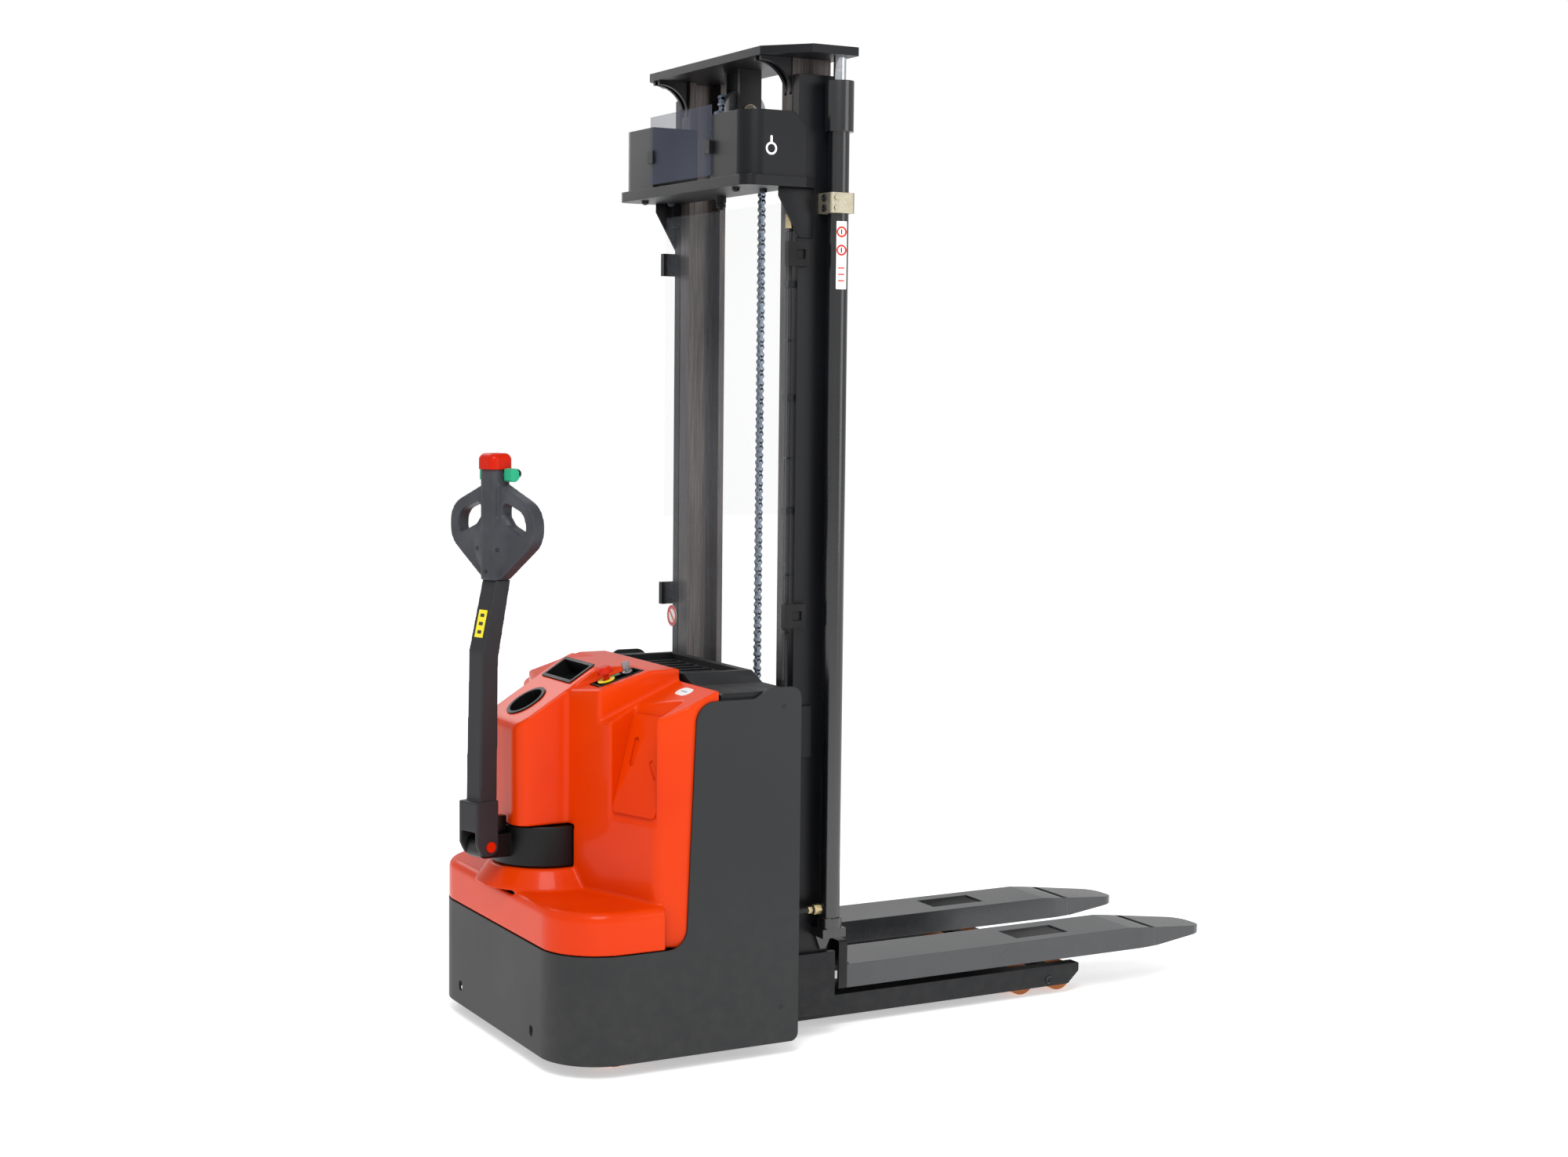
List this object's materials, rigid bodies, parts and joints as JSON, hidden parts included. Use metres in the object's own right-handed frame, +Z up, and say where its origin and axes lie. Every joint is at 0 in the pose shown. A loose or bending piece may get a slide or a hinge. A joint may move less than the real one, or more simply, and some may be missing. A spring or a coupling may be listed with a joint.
{
  "type": "walkie stacker",
  "caption": "Pedestrian electric stacker: steered tiller and drive wheel, battery body, two-stage mast with side lift cylinders, carriage with forks over straddle legs.",
  "frame": {"origin": "on the floor, under the centre of the truck's overall box", "axes": "+X towards the fork tips, +Y to the truck's left, +Z up"},
  "size_m": [2.0812, 0.86, 2.391],
  "materials": {
    "cover_red": "moulded plastic, satin gloss",
    "skirt_grey": "powder coat, fine texture, matt",
    "mast_black": "satin black paint",
    "fork_black": "satin black paint, worn top",
    "rail_steel": "dark rolled steel, greased, with upright wear streaks",
    "rod_chrome": "polished chrome",
    "clear_sheet": "clear polycarbonate sheet",
    "black_plastic": "moulded plastic, fine grain",
    "head_grey": "soft-touch moulded plastic",
    "arm_grey": "powder coat",
    "zinc_steel": "zinc plated",
    "bare_steel": "machined steel",
    "chain_steel": "oiled leaf chain",
    "wheel_tread": "polyurethane tread",
    "drive_tread": "rubber tread",
    "green_plastic": "moulded plastic",
    "red_button": "moulded plastic",
    "battery_grey": "moulded case",
    "cast_metal": "cast housing",
    "hose_rubber": "braided rubber hose"
  },
  "bodies": {
    "root": {"chassis_frame": "mast_black", "outer_skirt": "skirt_grey", "rear_cover": "cover_red", "cup_liner": "black_plastic", "tray_liner": "black_plastic", "dash_panel": "black_plastic", "battery_pack": "battery_grey", "pump_unit": "cast_metal", "motor_controller": "cast_metal", "leg_left": "fork_black", "leg_right": "fork_black", "outer_rail_left": "mast_black", "outer_rail_right": "mast_black", "mast_crossbeam": "mast_black", "beam_cover": "mast_black", "beam_screen": "clear_sheet", "mast_guard": "clear_sheet", "mast_clips": "black_plastic", "cylinder_left": "mast_black", "cylinder_right": "mast_black", "cylinder_clamps": "zinc_steel", "hydraulic_hoses": "hose_rubber", "hose_clips": "black_plastic", "lift_chain_rear": "chain_steel"},
    "hatch": {"cover_hatch": "cover_red"},
    "lid": {"battery_cover": "black_plastic"},
    "inner_mast": {"inner_rail_left": "rail_steel", "inner_rail_right": "rail_steel", "mast_tie": "mast_black", "top_plate": "mast_black", "piston_rods": "rod_chrome", "lift_chain_front": "chain_steel"},
    "mast_rollers": {"stage_rollers": "bare_steel"},
    "sheave": {"chain_sheave": "bare_steel"},
    "carriage": {"carriage_frame": "mast_black", "fork_left": "fork_black", "fork_right": "fork_black"},
    "rollers_lower": {"carriage_rollers_lower": "bare_steel"},
    "rollers_upper": {"carriage_rollers_upper": "bare_steel"},
    "steering": {"steering_drum": "black_plastic", "drive_unit": "cast_metal"},
    "drive": {"drive_wheel": "drive_tread"},
    "tiller": {"tiller_arm": "arm_grey", "tiller_pin": "zinc_steel", "tiller_head": "head_grey"},
    "cap": {"head_cap": "red_button"},
    "throttle": {"throttle": "green_plastic"},
    "rocker": {"lift_rocker": "black_plastic"},
    "estop": {"estop_button": "red_button"},
    "key": {"ignition_key": "bare_steel"},
    "bogie_left": {"bogie_left": "bare_steel"},
    "bogie_right": {"bogie_right": "bare_steel"},
    "wheel_left_rear": {"load_wheel_left_rear": "wheel_tread"},
    "wheel_left_front": {"load_wheel_left_front": "wheel_tread"},
    "wheel_right_rear": {"load_wheel_right_rear": "wheel_tread"},
    "wheel_right_front": {"load_wheel_right_front": "wheel_tread"},
    "caster_left": {"caster_fork_left": "zinc_steel"},
    "caster_right": {"caster_fork_right": "zinc_steel"},
    "caster_left_wheel": {"caster_wheel_left": "wheel_tread"},
    "caster_right_wheel": {"caster_wheel_right": "wheel_tread"}
  },
  "joints": [
    {"name": "mast_lift", "type": "slide", "parent": "root", "child": "inner_mast", "axis": [0, 0, 1], "range_m": [-0.033, 1.7], "deforming": ["lift_chain_rear"]},
    {"name": "carriage_lift", "type": "slide", "parent": "inner_mast", "child": "carriage", "axis": [0, 0, 1], "range_m": [-0.033, 1.7], "deforming": ["lift_chain_front"]},
    {"name": "sheave_spin", "type": "hinge", "parent": "inner_mast", "child": "sheave", "pos_m": [-0.27637, 0, 2.27], "axis": [0, 1, 0], "continuous": true},
    {"name": "mast_roller_spin", "type": "hinge", "parent": "inner_mast", "child": "mast_rollers", "pos_m": [-0.24637, 0, 0.175], "axis": [0, 1, 0], "continuous": true},
    {"name": "lower_roller_spin", "type": "hinge", "parent": "carriage", "child": "rollers_lower", "pos_m": [-0.24637, 0, 0.195], "axis": [0, 1, 0], "continuous": true},
    {"name": "upper_roller_spin", "type": "hinge", "parent": "carriage", "child": "rollers_upper", "pos_m": [-0.24637, 0, 0.59], "axis": [0, 1, 0], "continuous": true},
    {"name": "steer", "type": "hinge", "parent": "root", "child": "steering", "pos_m": [-0.80437, 0, 0], "axis": [0, 0, 1], "range_deg": [-97.5, 62.5]},
    {"name": "drive_spin", "type": "hinge", "parent": "steering", "child": "drive", "pos_m": [-0.80437, 0, 0.115], "axis": [-0.3007, 0.9537, 0], "continuous": true},
    {"name": "tiller_tilt", "type": "hinge", "parent": "steering", "child": "tiller", "pos_m": [-0.9913, -0.05894, 0.497], "axis": [0.3007, -0.9537, 0], "range_deg": [0, 85]},
    {"name": "cap_press", "type": "slide", "parent": "tiller", "child": "cap", "axis": [0, 0, -1], "range_m": [0, 0.006], "stiffness_N_per_m": 900, "springref_m": -0.002},
    {"name": "throttle_twist", "type": "hinge", "parent": "tiller", "child": "throttle", "pos_m": [-0.94171, -0.0433, 1.379], "axis": [-0.3007, 0.9537, 0], "range_deg": [-35, 35], "stiffness_Nm_per_rad": 0.4},
    {"name": "rocker_tilt", "type": "hinge", "parent": "tiller", "child": "rocker", "pos_m": [-0.93122, -0.03999, 1.316], "axis": [0, 0, 1], "range_deg": [-7, 7], "stiffness_Nm_per_rad": 0.3},
    {"name": "estop_press", "type": "slide", "parent": "root", "child": "estop", "axis": [0.2873, 0, -0.9578], "range_m": [0, 0.006], "stiffness_N_per_m": 600, "springref_m": -0.002},
    {"name": "key_turn", "type": "hinge", "parent": "root", "child": "key", "pos_m": [-0.65364, -0.152, 0.90472], "axis": [-0.2873, 0, 0.9578], "range_deg": [0, 90]},
    {"name": "hatch_open", "type": "hinge", "parent": "root", "child": "hatch", "pos_m": [-0.69726, -0.3943, 0.592], "axis": [0.2855, 0.0945, 0.9537], "range_deg": [0, 70]},
    {"name": "lid_open", "type": "hinge", "parent": "root", "child": "lid", "pos_m": [-0.33737, 0, 0.892], "axis": [0, 1, 0], "range_deg": [0, 75]},
    {"name": "bogie_left_rock", "type": "hinge", "parent": "root", "child": "bogie_left", "pos_m": [0.52063, 0.195, 0.043], "axis": [0, 1, 0], "range_deg": [-3, 3]},
    {"name": "load_wheel_left_rear_spin", "type": "hinge", "parent": "bogie_left", "child": "wheel_left_rear", "pos_m": [0.46163, 0.195, 0.04], "axis": [0, 1, 0], "continuous": true},
    {"name": "load_wheel_left_front_spin", "type": "hinge", "parent": "bogie_left", "child": "wheel_left_front", "pos_m": [0.57963, 0.195, 0.04], "axis": [0, 1, 0], "continuous": true},
    {"name": "caster_left_swivel", "type": "hinge", "parent": "root", "child": "caster_left", "pos_m": [-0.73437, 0.318, 0], "axis": [0, 0, 1], "continuous": true},
    {"name": "caster_left_spin", "type": "hinge", "parent": "caster_left", "child": "caster_left_wheel", "pos_m": [-0.76237, 0.318, 0.05], "axis": [0, 1, 0], "continuous": true},
    {"name": "bogie_right_rock", "type": "hinge", "parent": "root", "child": "bogie_right", "pos_m": [0.52063, -0.195, 0.043], "axis": [0, 1, 0], "range_deg": [-3, 3]},
    {"name": "load_wheel_right_rear_spin", "type": "hinge", "parent": "bogie_right", "child": "wheel_right_rear", "pos_m": [0.46163, -0.195, 0.04], "axis": [0, 1, 0], "continuous": true},
    {"name": "load_wheel_right_front_spin", "type": "hinge", "parent": "bogie_right", "child": "wheel_right_front", "pos_m": [0.57963, -0.195, 0.04], "axis": [0, 1, 0], "continuous": true},
    {"name": "caster_right_swivel", "type": "hinge", "parent": "root", "child": "caster_right", "pos_m": [-0.73437, -0.318, 0], "axis": [0, 0, 1], "continuous": true},
    {"name": "caster_right_spin", "type": "hinge", "parent": "caster_right", "child": "caster_right_wheel", "pos_m": [-0.76237, -0.318, 0.05], "axis": [0, 1, 0], "continuous": true}
  ],
  "couplings": [
    {"joint": "carriage_lift", "follows": "mast_lift", "ratio": 1},
    {"joint": "sheave_spin", "follows": "mast_lift", "rad_per_m": -17.422},
    {"joint": "mast_roller_spin", "follows": "mast_lift", "rad_per_m": 28.571},
    {"joint": "lower_roller_spin", "follows": "mast_lift", "rad_per_m": 28.571},
    {"joint": "upper_roller_spin", "follows": "mast_lift", "rad_per_m": 28.571}
  ]
}
